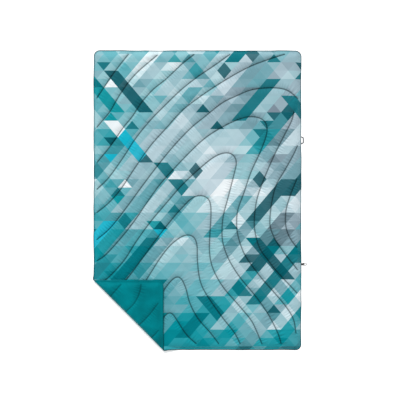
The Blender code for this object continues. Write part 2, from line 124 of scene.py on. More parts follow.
# Sewn routes in millimetres, from the middle of a cloth of the pattern's own size
patternSize = (1321, 1905)
quiltRoutes = [
    [(-440, 925), (-480, 875), (-540, 795), (-600, 705), (-638, 648)],
    [(-255, 922), (-394, 800), (-484, 683), (-553, 566), (-600, 508), (-638, 462)],
    [(-22, 925), (-100, 863), (-200, 768), (-278, 706), (-352, 624), (-415, 529), (-473, 458),
     (-553, 343), (-638, 240)],
    [(205, 925), (100, 850), (0, 782), (-100, 704), (-200, 608), (-300, 506), (-394, 390), (-468, 276),
     (-563, 143), (-638, 68)],
    [(553, 926), (452, 894), (341, 852), (235, 797), (100, 714), (0, 645), (-100, 566), (-200, 455),
     (-300, 343), (-400, 200), (-495, 58), (-574, -28), (-638, -80)],
    [(638, 646), (585, 690), (532, 709), (452, 713), (341, 700), (246, 661), (160, 619), (45, 529),
     (-50, 450), (-161, 332), (-262, 207), (-362, 74), (-452, -49), (-553, -177), (-638, -252)],
    [(627, -845), (611, -757), (563, -678), (484, -583), (400, -487), (302, -350), (257, -224),
     (249, -139), (257, -60), (294, 42), (339, 175), (400, 308), (440, 420), (437, 485), (400, 520),
     (330, 530), (246, 507), (151, 460), (45, 391), (-61, 292), (-161, 186), (-246, 90), (-325, -22),
     (-405, -139), (-489, -245), (-585, -350), (-638, -386)],
    [(532, -912), (510, -842), (447, -721), (368, -609), (267, -487), (198, -375), (164, -282),
     (156, -208), (164, -102), (196, 21), (230, 154), (248, 240), (225, 289), (172, 300), (100, 270),
     (0, 188), (-103, 90), (-200, -22), (-299, -139), (-394, -271), (-468, -386), (-563, -490),
     (-612, -528)],
    [(410, -912), (378, -837), (341, -763), (257, -662), (161, -550), (98, -434), (77, -333),
     (79, -224), (86, -100), (82, -17), (56, 20), (10, 29), (-35, 12), (-98, -49), (-167, -128),
     (-267, -256), (-357, -380), (-447, -500), (-530, -590), (-634, -684)],
    [(272, -912), (235, -842), (156, -742), (56, -598), (16, -508), (0, -386), (-2, -290), (-20, -237),
     (-55, -221), (-100, -232), (-172, -287), (-241, -375), (-320, -500), (-395, -615), (-468, -721),
     (-522, -774), (-591, -806), (-634, -812)],
    [(135, -912), (82, -842), (3, -752), (-50, -650), (-75, -555), (-115, -487), (-170, -515),
     (-250, -625), (-320, -715), (-384, -806), (-448, -868), (-515, -920)],
    [(-8, -912), (-71, -853), (-130, -763), (-167, -714), (-204, -731), (-250, -800), (-304, -884),
     (-345, -922)],
    [(632, -590), (590, -545), (505, -455), (447, -380), (394, -304), (365, -198), (362, -112),
     (378, 5), (420, 127), (489, 287), (558, 423), (600, 507), (612, 560)],
    [(634, -440), (570, -360), (500, -262), (465, -181), (460, -130), (471, -22), (500, 95),
     (553, 186), (611, 292), (636, 345)],
    [(632, -300), (590, -245), (562, -170), (562, -70), (590, 30), (630, 132)],
]


def smoothStep(value):
    value = np.clip(value, 0, 1)
    return value * value * (3 - 2 * value)


def foldDistance(points):
    # positive on the blanket, negative on the corner
    return (points[:, 0] + points[:, 1] - foldSum) / math.sqrt(2)


def edgeInset(points):
    # how far each point lies inside the cloth's rounded edge
    q = np.abs(points) - np.array((halfWidth, halfLength)) + cloth["cornerRadius"]
    outside = np.hypot(np.maximum(q[:, 0], 0), np.maximum(q[:, 1], 0))
    return cloth["cornerRadius"] - outside - np.minimum(q.max(axis=1), 0)


def lineNoise(run, spacing, seed):
    # smooth noise from -1 to 1 along a line
    dice = np.random.RandomState(seed).uniform(-1, 1, 4096)
    place = run / spacing + 700
    whole = np.floor(place).astype(int)
    share = smoothStep(place - whole)
    return dice[whole % 4096] * (1 - share) + dice[(whole + 1) % 4096] * share


def fieldNoise(points, spacing, seed):
    # smooth noise from -1 to 1 over the cloth
    dice = np.random.RandomState(seed).uniform(-1, 1, (256, 256))
    place = points / spacing + 60
    whole = np.floor(place).astype(int)
    share = smoothStep(place - whole)
    i, j = whole[:, 0] % 256, whole[:, 1] % 256
    a, b = share[:, 0], share[:, 1]
    k, m = (i + 1) % 256, (j + 1) % 256
    low = dice[i, j] * (1 - a) + dice[k, j] * a
    high = dice[i, m] * (1 - a) + dice[k, m] * a
    return low * (1 - b) + high * b


def smoothRoute(points, step):
    # a smooth curve through the route's own points
    ends = np.vstack([2 * points[0] - points[1], points, 2 * points[-1] - points[-2]])
    dense = []
    for a, b, c, d in zip(ends, ends[1:], ends[2:], ends[3:]):
        count = max(2, round(float(np.linalg.norm(c - b)) / step))
        t = np.arange(count)[:, None] / count
        dense.append(b + (c - a) * (t / 2) + (a * 2 - b * 5 + c * 4 - d) * (t * t / 2)
                     + (b * 3 - a - c * 3 + d) * (t ** 3 / 2))
    return np.vstack(dense + [points[-1:]])


def evenly(line, step):
    # the same line with points at even spacing
    run = np.append(0, np.cumsum(np.linalg.norm(np.diff(line, axis=0), axis=1)))
    places = np.linspace(0, run[-1], max(2, round(run[-1] / step)) + 1)
    return np.column_stack([np.interp(places, run, line[:, k]) for k in range(line.shape[1])])


def sideways(line):
    # the unit normal to the left of a line at each of its points
    along = np.gradient(line, axis=0)
    along /= np.linalg.norm(along, axis=1)[:, None]
    return np.column_stack([-along[:, 1], along[:, 0]])


def sewnRoutes():
    scale = np.array((2 * halfWidth / patternSize[0], 2 * halfLength / patternSize[1]))
    routes = []
    for drawn in quiltRoutes:
        line = evenly(smoothRoute(np.array(drawn, float) * scale, plan["drawStep"]), plan["drawStep"])
        for _ in range(plan["relaxings"]):
            line[1:-1] = (line[:-2] + 2 * line[1:-1] + line[2:]) / 4
        line = line[edgeInset(line) > cloth["hemWidth"] + plan["hemClear"]]
        routes.append(evenly(line, plan["runStep"]))
    return routes


def outlineRing(inset):
    # the cloth's rounded edge moved in by inset
    radius = cloth["cornerRadius"] - inset
    centre = np.array((halfWidth, halfLength)) - cloth["cornerRadius"]
    if radius < 0:
        centre = centre + radius
        radius = 0
    ring = []
    for k, side in enumerate([(1, 1), (-1, 1), (-1, -1), (1, -1)]):
        angle = np.radians(90 * k + np.linspace(0, 90, 16))
        ring.append(centre * side + radius * np.column_stack([np.cos(angle), np.sin(angle)]))
    ring = np.vstack(ring + [ring[0][:1]])
    return evenly(ring, plan["hemStep"])[:-1]


class SeamMap:
    # distance, run and side of the nearest sewn route, for many points at once
    def __init__(self, routes):
        self.points = np.vstack(routes)
        self.normals = np.vstack([sideways(line) for line in routes])
        # each route's run starts 10 m after the last one's, so that no two routes share a value
        runs = [np.arange(len(line)) * plan["runStep"] + 10 * k for k, line in enumerate(routes)]
        self.run = np.concatenate(runs)
        self.tip = np.zeros(len(self.points), bool)
        end = 0
        for line in routes:
            self.tip[end] = True
            end += len(line)
            self.tip[end - 1] = True
        self.tree = KDTree(len(self.points))
        for k, point in enumerate(self.points):
            self.tree.insert((point[0], point[1], 0), k)
        self.tree.balance()

    def __call__(self, points):
        found = np.array([self.tree.find((x, y, 0))[1] for x, y in points])
        reach = points - self.points[found]
        normal = self.normals[found]
        across = (reach * normal).sum(axis=1)
        along = reach[:, 0] * normal[:, 1] - reach[:, 1] * normal[:, 0]
        far = np.linalg.norm(reach, axis=1)
        distance = np.where(self.tip[found], far, np.abs(across))
        return distance, self.run[found] + along, np.sign(across)


def spread(groups, nearest):
    # keeps points in order of importance, each clear of those already kept
    taken = {}
    kept = []
    for points, free in groups:
        for point in points:
            i, j = int(point[0] // nearest), int(point[1] // nearest)
            crowd = [other for a in (i - 1, i, i + 1) for b in (j - 1, j, j + 1)
                     for other in taken.get((a, b), ())]
            if free or all((point[0] - x) ** 2 + (point[1] - y) ** 2 > nearest ** 2 for x, y in crowd):
                taken.setdefault((i, j), []).append((point[0], point[1]))
                kept.append(point)
    return np.array(kept)


def clothPlan(routes, seams, rows, fine):
    # flat points and triangles that follow every seam, the hem and the fold
    step = plan["seamStep"] * fine
    outline = outlineRing(0)[::max(1, round(fine))]
    seamLines = [evenly(line, step) for line in routes]
    groups = [(outline, True), (np.vstack(seamLines), True)]
    ends = np.array([[foldSum + halfLength, -halfLength], [-halfWidth, foldSum + halfWidth]])
    crease = evenly(ends, plan["foldStep"] * fine)
    for reach in plan["foldRows"]:
        for side in ((1, -1) if reach else (1,)):
            groups.append((crease + side * reach / math.sqrt(2), False))
    for inset in plan["hemRows"]:
        groups.append((outlineRing(inset)[::max(1, round(fine))], False))
    for reach in rows:
        for line in seamLines:
            normal = sideways(line)
            for side in (1, -1):
                row = line + normal * reach * side
                groups.append((row[seams(row)[0] > reach * 0.93], False))
    fill = plan["fillStep"] * fine
    across, up = np.meshgrid(np.arange(-halfWidth, halfWidth, fill),
                             np.arange(-halfLength, halfLength, fill * math.sqrt(3) / 2))
    across[1::2] += fill / 2
    field = np.column_stack([across.ravel(), up.ravel()])
    groups.append((field[seams(field)[0] > rows[-1] + fill * 0.4], False))
    inside = [(points[edgeInset(points) > -1e-6], free) for points, free in groups]
    points = spread(inside, plan["nearest"] * fine)
    count = len(outline)
    edges = []
    for line in seamLines:
        edges += [(count + k, count + k + 1) for k in range(len(line) - 1)]
        count += len(line)
    flat = [Vector(p) for p in points]
    found = delaunay_2d_cdt(flat, edges, [list(range(len(outline)))], 1, 1e-6)
    return np.array([tuple(p) for p in found[0]]), found[2]


def puff(share):
    share = np.clip(share, 0, 1)
    return (1 - (1 - share) ** 2) ** cloth["puffPower"]


def clothShape(points, seams):
    # heights of the face and the back over the flat cloth, with the corner lying open
    fold = foldDistance(points)
    inset = edgeInset(points)
    gap, run, side = seams(points)
    hemRise = puff((inset - cloth["hemWidth"]) / cloth["puffHalf"])
    seamRise = puff(gap / cloth["puffHalf"])
    rise = np.minimum(hemRise, seamRise)
    hemness = 1 - hemRise
    onCorner = fold < 0

    away = ((points - np.array(cloth["gatherMiddle"])) ** 2).sum(axis=1)
    drawn = np.exp(-away / cloth["gatherReach"] ** 2)
    strength = (0.35 + 0.65 * (0.5 + 0.5 * lineNoise(run, 0.085, 3))) * (1 + 0.45 * drawn)
    wave = np.sin(2 * math.pi * (run / cloth["wrinkleSpacing"] + 1.3 * lineNoise(run, 0.052, 5)
                                 + 0.35 * side * lineNoise(run, 0.09, 6)))
    wave = 0.7 * wave + 0.5 * lineNoise(run + side * 3.1, 0.0105, 7)
    fade = np.clip(gap / cloth["wrinkleStart"], 0, 1) * np.exp(-(gap / cloth["wrinkleReach"]) ** 2)
    fade = fade * smoothStep(hemRise * 1.6)
    wrinkle = cloth["wrinkle"] * strength * wave * fade
    lumps = fieldNoise(points, 0.075, 11) + 0.6 * fieldNoise(points, 0.033, 12)
    soft = cloth["softness"] * rise * lumps
    ring = np.arctan2(points[:, 1] / halfLength, points[:, 0] / halfWidth) * 0.95
    pucker = cloth["pucker"] * lineNoise(ring, 0.011, 21) * np.clip(inset / 0.003, 0, 1)

    hemTop = cloth["hemThick"] + pucker * (1 - hemRise)
    ground = np.minimum(hemTop + (crest - hemTop) * hemRise,
                        cloth["seamHeight"] + (crest - cloth["seamHeight"]) * seamRise)
    sink = np.maximum(cloth["cornerSink"] * (1 - seamRise), cloth["cornerHem"] * (1 - hemRise))
    face = np.where(onCorner, crest - sink, ground) + wrinkle + soft
    face -= cloth["stitchDip"] * np.exp(-((inset - cloth["stitchInset"]) / cloth["stitchSpread"]) ** 2)

    ease = cloth["foldEase"] + (cloth["hemEase"] - cloth["foldEase"]) * hemness
    toFold = 1 - smoothStep(np.abs(fold) / ease)
    face = face + (foldHeight - face) * toFold
    # nothing on the blanket stands above the fold, or it would go with the corner
    cap = foldHeight - cloth["faceGap"] * np.clip(np.abs(fold) / cloth["capReach"], 0, 1)
    bend = cloth["capEase"] + cloth["capEaseFar"] * np.clip(np.abs(fold) / cloth["capEaseReach"], 0, 1)
    face = cap - bend * np.logaddexp(0, (cap - face) / bend)

    backWave = 0.8 * wrinkle + soft
    openBack = sink - backWave
    flatBack = cloth["backValley"] * (1 - seamRise) * hemRise
    flatBack = flatBack + 0.2 * (backWave - backWave.min()) * hemRise
    back = np.where(onCorner, openBack, flatBack)
    across = smoothStep((fold + cloth["foldReach"]) / (2 * cloth["foldReach"]))
    back = np.where(np.abs(fold) < cloth["foldReach"], openBack * (1 - across) + flatBack * across, back)
    back = back + (face - cloth["hemThick"] - back) * hemness
    back = np.maximum(back, 0)
    back = np.minimum(back, face - cloth["thinnest"])

    rim = 1 - np.sqrt(1 - (1 - np.clip(inset / cloth["rimReach"], 0, 1)) ** 2)
    middle = (face + back) / 2
    face = face + (middle + cloth["rimGap"] - face) * rim
    back = back + (middle - cloth["rimGap"] - back) * rim
    return {"face": face, "back": back, "fold": fold, "inset": inset, "gap": gap, "run": run,
            "wrinkle": wrinkle, "ruffle": 1.2 * cloth["wrinkle"] * strength * fade}


def wander(points, inset):
    # the edge of the cloth isn't ruler straight
    edge = np.exp(-inset / cloth["wanderReach"])
    shiftX = lineNoise(points[:, 1], 0.13, 31) + 0.5 * lineNoise(points[:, 1], 0.047, 32)
    shiftY = lineNoise(points[:, 0], 0.13, 33) + 0.5 * lineNoise(points[:, 0], 0.047, 34)
    return cloth["edgeWander"] * edge[:, None] * np.column_stack([shiftX, shiftY])


def placeFace(points, height, fold):
    # the face turns over on itself along the crease
    x, y = points[:, 0], points[:, 1]
    turned = fold < 0
    return np.column_stack([np.where(turned, foldSum - y, x), np.where(turned, foldSum - x, y),
                            np.where(turned, 2 * foldHeight - height, height)])


def placeBack(points, height, fold):
    # the back goes round the outside of the fold
    reach = cloth["foldReach"]
    angle = np.clip((1 - fold / reach), 0, 2) * math.pi / 2
    onArc = np.abs(fold) < reach
    outward = reach - (reach + cloth["foldBulge"]) * np.sin(angle)
    reachNow = np.where(onArc, outward, np.abs(fold))
    z = foldHeight - (foldHeight - height) * np.cos(angle)
    shift = (reachNow - fold) / math.sqrt(2)
    return np.column_stack([points[:, 0] + shift, points[:, 1] + shift, z])


def addNode(tree, kind, inputs=None, stops=(), **settings):
    # adds one shader node; an input is a value, a node or one of its sockets
    node = tree.nodes.new("ShaderNode" + kind)
    for name, value in settings.items():
        setattr(node, name, value)
    for socket, value in (inputs or {}).items():
        if isinstance(value, bpy.types.Node):
            value = next(out for out in value.outputs if out.enabled)
        if isinstance(value, bpy.types.NodeSocket):
            tree.links.new(value, node.inputs[socket])
        else:
            node.inputs[socket].default_value = value
    if stops:
        ramp = node.color_ramp
        ramp.interpolation = "CONSTANT" if stops[0] == "steps" else "LINEAR"
        for k, (place, hexColour) in enumerate(stops[1:]):
            element = ramp.elements[k] if k < 2 else ramp.elements.new(place)
            element.position = place
            element.color = linear(hexColour)
    return node


def linear(hexColour):
    # an sRGB hex colour as the linear colour that a socket takes
    parts = [int(hexColour[k:k + 2], 16) / 255 for k in (1, 3, 5)]
    return (*[p / 12.92 if p <= 0.04045 else ((p + 0.055) / 1.055) ** 2.4 for p in parts], 1.0)


def newMaterial(name):
    material = bpy.data.materials.new(name)
    material.use_nodes = True
    tree = material.node_tree
    return material, tree, tree.nodes["Principled BSDF"]


printDesign = {
    "cell": (0.090, 0.053),          # one triangle's base and height
    "corner": (0.170, 0.027),        # a corner of the lattice
    "base": (0.70, 0.43, 0.40),      # teal share, depth and accents where no patch reaches
    # middle, reach, then what the patch adds to the teal share, the depth and the accents
    "patches": [
        ((-0.57, 0.60), (0.22, 0.50), (0.25, 0.10, -0.12)),
        ((-0.30, 0.86), (0.20, 0.16), (0.10, -0.10, -0.40)),
        ((0.36, 0.74), (0.34, 0.26), (-0.40, 0.08, 0.15)),
        ((0.12, 0.84), (0.14, 0.16), (0.10, 0.22, 0.20)),
        ((0.56, 0.86), (0.14, 0.14), (-0.20, 0.14, 0.10)),
        ((-0.08, 0.45), (0.24, 0.26), (-0.30, 0.04, -0.30)),
        ((0.12, 0.13), (0.17, 0.28), (-0.25, -0.36, -0.35)),
        ((-0.33, 0.20), (0.16, 0.18), (0.00, -0.14, 0.00)),
        ((-0.33, 0.02), (0.16, 0.12), (0.10, 0.20, 0.10)),
        ((-0.55, -0.38), (0.24, 0.34), (0.45, 0.46, -0.20)),
        ((-0.15, -0.58), (0.25, 0.40), (0.25, 0.18, -0.40)),
        ((0.10, -0.92), (0.60, 0.22), (0.30, 0.32, -0.20)),
        ((0.12, -0.42), (0.16, 0.16), (0.00, -0.10, -0.45)),
        ((0.56, -0.40), (0.20, 0.22), (-0.10, 0.06, 0.20)),
        ((0.36, 0.03), (0.18, 0.16), (-0.05, -0.08, 0.20)),
        ((0.60, 0.30), (0.16, 0.40), (-0.45, 0.12, -0.20)),
        ((0.58, -0.20), (0.12, 0.12), (-0.80, 0.10, -0.40)),
        ((0.34, -0.34), (0.13, 0.15), (-0.10, -0.18, 0.00)),
        ((0.38, -0.74), (0.20, 0.16), (0.00, 0.04, 0.20)),
    ],
    "tealTones": ("scale", (0.0, "#E2EAED"), (0.16, "#BCD5DB"), (0.34, "#94BFC6"), (0.52, "#64A8B2"),
                  (0.70, "#28949F"), (0.86, "#048792"), (1.0, "#02717C")),
    "greyTones": ("scale", (0.0, "#E4E9EC"), (0.16, "#C1D0D8"), (0.34, "#A3B8C2"), (0.52, "#8499A4"),
                  (0.70, "#687F89"), (0.86, "#4A6F79"), (1.0, "#36606B")),
    "accents": ("steps", (0.0, "#748390"), (0.14, "#03545F"), (0.46, "#12ABC2"), (0.52, "#E4EAED"),
                (0.61, "#026B76"), (0.84, "#028B94")),
    "bars": (("rightBar", 5, 7.3), ("leftBar", 5, 13.1)),
    # how much each set of shapes changes the depth where the print is calm and where it is lively
    "swings": (("rightBar", 2.4, 0.8), ("leftBar", 0.8, 1.2), ("diamond", 0.15, 0.45),
               ("triangle", 0.1, 0.35)),
    # how many of each set are picked out in an accent colour, and how fully it covers
    "shares": (("rightBar", 0.24, 0.92), ("leftBar", 0.24, 0.94), ("diamond", 0.08, 0.90),
               ("triangle", 0.07, 0.94)),
}


def printedColour(tree):
    # a triangular lattice of translucent bars, diamonds and triangles, coloured patch by patch
    cellX, cellY = printDesign["cell"]
    cornerX, cornerY = printDesign["corner"]
    flat = addNode(tree, "UVMap", uv_map="cloth")
    lattice = addNode(tree, "Mapping", {0: flat, 1: (-cornerX / cellX, -cornerY / cellY, 0),
                                        3: (1 / cellX, 1 / cellY, 1)})
    axes = addNode(tree, "SeparateXYZ", {0: lattice})
    up = axes.outputs[1]
    right = addNode(tree, "Math", {0: up, 1: -0.5, 2: axes.outputs[0]}, operation="MULTIPLY_ADD")
    left = addNode(tree, "Math", {0: up, 1: 0.5, 2: axes.outputs[0]}, operation="MULTIPLY_ADD")
    rightCell = addNode(tree, "Math", {0: right}, operation="FLOOR")
    leftCell = addNode(tree, "Math", {0: left}, operation="FLOOR")
    row = addNode(tree, "Math", {0: up}, operation="FLOOR")
    pair = addNode(tree, "Math", {0: row, 1: 0.5}, operation="MULTIPLY")
    pair = addNode(tree, "Math", {0: pair}, operation="FLOOR")
    across = addNode(tree, "Math", {0: rightCell, 1: pair}, operation="ADD")
    middle = addNode(tree, "CombineXYZ", {0: across, 1: pair})
    start = (cornerX + cellX, cornerY + cellY, 0)
    middle = addNode(tree, "VectorMath", {0: middle, 1: (cellX, 2 * cellY, 0), 2: start},
                     operation="MULTIPLY_ADD")

    field = None
    for centre, reach, gains in printDesign["patches"]:
        shift = (-centre[0] / reach[0], -centre[1] / reach[1], 0)
        place = addNode(tree, "Mapping", {0: middle, 1: shift, 3: (1 / reach[0], 1 / reach[1], 0)})
        far = addNode(tree, "VectorMath", {0: place}, operation="LENGTH")
        near = addNode(tree, "MapRange", {0: far.outputs["Value"], 1: 0.0, 2: 1.7, 3: 1.0, 4: 0.0},
                       interpolation_type="SMOOTHERSTEP")
        field = addNode(tree, "VectorMath", {0: near, 1: gains, 2: field or printDesign["base"]},
                        operation="MULTIPLY_ADD")
    tealShare, depth, lively = addNode(tree, "SeparateXYZ", {0: field}).outputs

    # each set of shapes: the two whole numbers that name a shape, and a third that keeps the sets apart
    shapes = {}
    stripes = {"rightBar": rightCell, "leftBar": leftCell}
    for name, rows, seed in printDesign["bars"]:
        stripe = stripes[name]
        slide = addNode(tree, "TexWhiteNoise", {"W": stripe}, noise_dimensions="1D")
        slide = addNode(tree, "Math", {0: slide, 1: rows}, operation="MULTIPLY")
        slide = addNode(tree, "Math", {0: slide}, operation="FLOOR")
        block = addNode(tree, "Math", {0: row, 1: slide}, operation="ADD")
        block = addNode(tree, "Math", {0: block, 1: 1 / rows}, operation="MULTIPLY")
        block = addNode(tree, "Math", {0: block}, operation="FLOOR")
        shapes[name] = addNode(tree, "CombineXYZ", {0: stripe, 1: block, 2: seed})
    shapes["diamond"] = addNode(tree, "CombineXYZ", {0: rightCell, 1: leftCell, 2: 3.7})
    shapes["triangle"] = addNode(tree, "CombineXYZ", {0: rightCell, 1: leftCell, 2: row})
    dice = {name: addNode(tree, "SeparateColor",
                          {0: addNode(tree, "TexWhiteNoise", {"Vector": shape}).outputs["Color"]}).outputs
            for name, shape in shapes.items()}

    cloudy = addNode(tree, "TexNoise", {"Vector": middle, "Scale": 4.2, "Detail": 2.0})
    tone = addNode(tree, "Math", {0: cloudy.outputs[0], 1: 0.7, 2: depth}, operation="MULTIPLY_ADD")
    tone = addNode(tree, "Math", {0: tone, 1: -0.35}, operation="ADD")
    for name, calm, extra in printDesign["swings"]:
        strength = addNode(tree, "Math", {0: lively, 1: extra, 2: calm}, operation="MULTIPLY_ADD")
        swing = addNode(tree, "Math", {0: dice[name][0], 1: -0.5}, operation="ADD")
        cubed = addNode(tree, "Math", {0: swing, 1: swing}, operation="MULTIPLY")
        cubed = addNode(tree, "Math", {0: cubed, 1: swing}, operation="MULTIPLY")
        tone = addNode(tree, "Math", {0: cubed, 1: strength, 2: tone}, operation="MULTIPLY_ADD")
    hue = addNode(tree, "Math", {0: dice["rightBar"][2], 1: 0.7, 2: tealShare}, operation="MULTIPLY_ADD")
    hue = addNode(tree, "Math", {0: hue, 1: -0.35}, operation="ADD", use_clamp=True)
    teal = addNode(tree, "ValToRGB", {0: tone}, printDesign["tealTones"])
    grey = addNode(tree, "ValToRGB", {0: tone}, printDesign["greyTones"])
    colour = addNode(tree, "Mix", {0: hue, 6: grey, 7: teal}, data_type="RGBA")
    for name, share, cover in printDesign["shares"]:
        limit = addNode(tree, "Math", {0: lively, 1: share}, operation="MULTIPLY")
        shown = addNode(tree, "Math", {0: dice[name][1], 1: limit}, operation="LESS_THAN")
        shown = addNode(tree, "Math", {0: shown, 1: cover}, operation="MULTIPLY")
        pick = addNode(tree, "Math", {0: tealShare, 1: 0.34}, operation="MULTIPLY", use_clamp=True)
        pick = addNode(tree, "Math", {0: dice[name][2], 1: 0.66, 2: pick}, operation="MULTIPLY_ADD")
        accent = addNode(tree, "ValToRGB", {0: pick}, printDesign["accents"])
        colour = addNode(tree, "Mix", {0: shown, 6: colour, 7: accent}, data_type="RGBA")
    return colour


fabric = {
    "ripstopCell": 0.005,      # the real grid of thicker threads; 5 mm
    "threadSpacing": 0.0009,   # drawn coarser than the real 0.1 mm so that it shows
    "roughness": 0.50,
    "runJump": 0.03,           # a triangle whose corners' runs differ by more lies between two seams
    "gatherStart": 0.002,      # gathers are deepest up to here from a seam, then fade out
    "gatherFade": 0.058,
}


def clothBump(tree, weave):
    # gathers run away from each seam, with the woven grid over them
    run = addNode(tree, "Attribute", attribute_name="seamRun")
    gap = addNode(tree, "Attribute", attribute_name="seamGap")
    ripple = addNode(tree, "CombineXYZ", {0: run.outputs["Fac"], 1: gap.outputs["Fac"]})
    ripple = addNode(tree, "VectorMath", {0: ripple, 1: (95.0, 14.0, 1.0)}, operation="MULTIPLY")
    ripple = addNode(tree, "TexNoise", {"Vector": ripple, "Scale": 1.0, "Detail": 3.0, "Roughness": 0.55})
    fade = addNode(tree, "Attribute", attribute_name="gather")
    ripple = addNode(tree, "Math", {0: ripple.outputs[0], 1: fade.outputs["Fac"]}, operation="MULTIPLY")
    gather = addNode(tree, "Bump", {"Height": ripple, "Strength": 0.9, "Distance": 0.005})
    flat = addNode(tree, "UVMap", uv_map="cloth")
    grid = []
    for kind, spacing in (("TexBrick", fabric["ripstopCell"]), ("TexChecker", fabric["threadSpacing"])):
        scale = (1 / spacing, 1 / spacing, 0)
        threads = addNode(tree, "VectorMath", {0: flat, 1: scale}, operation="MULTIPLY")
        grid.append(addNode(tree, kind, {"Vector": threads, "Scale": 1.0}))
    brick, check = grid
    brick.offset = 0.0
    brick.inputs["Mortar Size"].default_value = 0.06
    brick.inputs["Brick Width"].default_value = 1.0
    brick.inputs["Row Height"].default_value = 1.0
    woven = addNode(tree, "Math", {0: check.outputs["Fac"], 1: 0.3, 2: brick.outputs["Fac"]},
                    operation="MULTIPLY_ADD")
    return addNode(tree, "Bump", {"Height": woven, "Strength": weave, "Distance": 0.0002, "Normal": gather})


def paintedSeamAndRimShade(tree, colour, darkest, rimShadeDarkest):
    # painted shade: the cloth's colour is darkened where the stitches pull it into a seam, and along the
    # rim of its edge
    gap = addNode(tree, "Attribute", attribute_name="seamGap")
    light = addNode(tree, "MapRange", {0: gap.outputs["Fac"], 1: 0.0010, 2: 0.0065, 3: darkest, 4: 1.0},
                    interpolation_type="SMOOTHSTEP")
    # painted shade along the rim of the cloth's edge, where the edge rolls away
    inset = addNode(tree, "Attribute", attribute_name="hemInset")
    edge = addNode(tree, "MapRange", {0: inset.outputs["Fac"], 1: 0.0028, 2: 0.0068, 3: rimShadeDarkest, 4: 1.0},
                   interpolation_type="SMOOTHSTEP")
    light = addNode(tree, "Math", {0: light, 1: edge}, operation="MULTIPLY")
    return addNode(tree, "Mix", {0: 1.0, 6: colour, 7: light}, data_type="RGBA", blend_type="MULTIPLY")


def printedRipstop():
    # printed nylon ripstop: a fine, slightly lustrous weave that takes crisp dyed edges
    material, tree, shader = newMaterial("printed_nylon_ripstop")
    # the print is darkened with painted shade at the seams and along the rim
    colour = paintedSeamAndRimShade(tree, printedColour(tree), 0.34, 0.14)
    tree.links.new(colour.outputs[2], shader.inputs["Base Color"])
    tree.links.new(colour.outputs[2], shader.inputs["Specular Tint"])
    tree.links.new(clothBump(tree, 0.35).outputs[0], shader.inputs["Normal"])
    shader.inputs["Roughness"].default_value = fabric["roughness"]
    shader.inputs["IOR"].default_value = 1.53
    shader.inputs["Specular IOR Level"].default_value = 0.35
    shader.inputs["Sheen Weight"].default_value = 0.03
    return material


def plainRipstop():
    # dyed nylon ripstop: one deep teal, a little uneven from the dye bath, with a low lustre
    material, tree, shader = newMaterial("teal_nylon_ripstop")
    flat = addNode(tree, "UVMap", uv_map="cloth")
    uneven = addNode(tree, "TexNoise", {"Vector": flat, "Scale": 9.0, "Detail": 4.0})
    dyed = addNode(tree, "ValToRGB", {0: uneven.outputs[0]},
                   ("scale", (0.3, "#02676F"), (0.7, "#027C85")))
    # the dyed teal is darkened with painted shade at the seams and along the rim
    colour = paintedSeamAndRimShade(tree, dyed, 0.65, 0.85)
    tree.links.new(colour.outputs[2], shader.inputs["Base Color"])
    tree.links.new(colour.outputs[2], shader.inputs["Specular Tint"])
    tree.links.new(clothBump(tree, 0.35).outputs[0], shader.inputs["Normal"])
    shader.inputs["Roughness"].default_value = 0.42
    shader.inputs["IOR"].default_value = 1.53
    shader.inputs["Specular IOR Level"].default_value = 0.4
    shader.inputs["Sheen Weight"].default_value = 0.03
    return material


def spunThread(name, hexColour):
    # spun polyester thread: dull, twisted, slightly hairy
    material, tree, shader = newMaterial(name)
    place = addNode(tree, "TexCoord").outputs["Object"]
    twist = addNode(tree, "TexWave", {"Vector": place, "Scale": 900.0, "Distortion": 1.0},
                    bands_direction="DIAGONAL")
    dark = addNode(tree, "ValToRGB", {0: twist.outputs["Fac"]},
                   ("scale", (0.0, hexColour), (1.0, lighten(hexColour, 1.35))))
    tree.links.new(dark.outputs[0], shader.inputs["Base Color"])
    bump = addNode(tree, "Bump", {"Height": twist.outputs["Fac"], "Strength": 0.5, "Distance": 0.0001})
    tree.links.new(bump.outputs[0], shader.inputs["Normal"])
    shader.inputs["Roughness"].default_value = 0.75
    shader.inputs["Specular IOR Level"].default_value = 0.15
    return material


def lighten(hexColour, factor):
    parts = [min(255, round(int(hexColour[k:k + 2], 16) * factor)) for k in (1, 3, 5)]
    return "#%02X%02X%02X" % tuple(parts)


def wovenWebbing(name, hexColour):
    # flat polyester webbing: ribs of heavy yarn across a matt strip
    material, tree, shader = newMaterial(name)
    place = addNode(tree, "TexCoord").outputs["Object"]
    ribs = addNode(tree, "TexWave", {"Vector": place, "Scale": 240.0, "Distortion": 0.4},
                   bands_direction="Y")
    yarn = addNode(tree, "TexWave", {"Vector": place, "Scale": 330.0, "Distortion": 0.6},
                   bands_direction="X")
    weave = addNode(tree, "Math", {0: ribs.outputs["Fac"], 1: yarn.outputs["Fac"]}, operation="MULTIPLY")
    colour = addNode(tree, "ValToRGB", {0: weave},
                     ("scale", (0.0, hexColour), (1.0, lighten(hexColour, 1.7))))
    tree.links.new(colour.outputs[0], shader.inputs["Base Color"])
    bump = addNode(tree, "Bump", {"Height": weave, "Strength": 0.7, "Distance": 0.0004})
    tree.links.new(bump.outputs[0], shader.inputs["Normal"])
    shader.inputs["Roughness"].default_value = 0.82
    return material


def mouldedAcetal():
    # black acetal, injection moulded: smooth and waxy, with a faint tool texture
    material, tree, shader = newMaterial("moulded_black_acetal")
    place = addNode(tree, "TexCoord").outputs["Object"]
    grain = addNode(tree, "TexNoise", {"Vector": place, "Scale": 1500.0, "Detail": 3.0})
    colour = addNode(tree, "ValToRGB", {0: grain.outputs[0]},
                     ("scale", (0.3, "#101112"), (0.7, "#1B1C1E")))
    rough = addNode(tree, "MapRange", {0: grain.outputs[0], 3: 0.32, 4: 0.48})
    tree.links.new(colour.outputs[0], shader.inputs["Base Color"])
    tree.links.new(rough.outputs[0], shader.inputs["Roughness"])
    bump = addNode(tree, "Bump", {"Height": grain.outputs[0], "Strength": 0.25, "Distance": 0.0001})
    tree.links.new(bump.outputs[0], shader.inputs["Normal"])
    shader.inputs["IOR"].default_value = 1.48
    return material


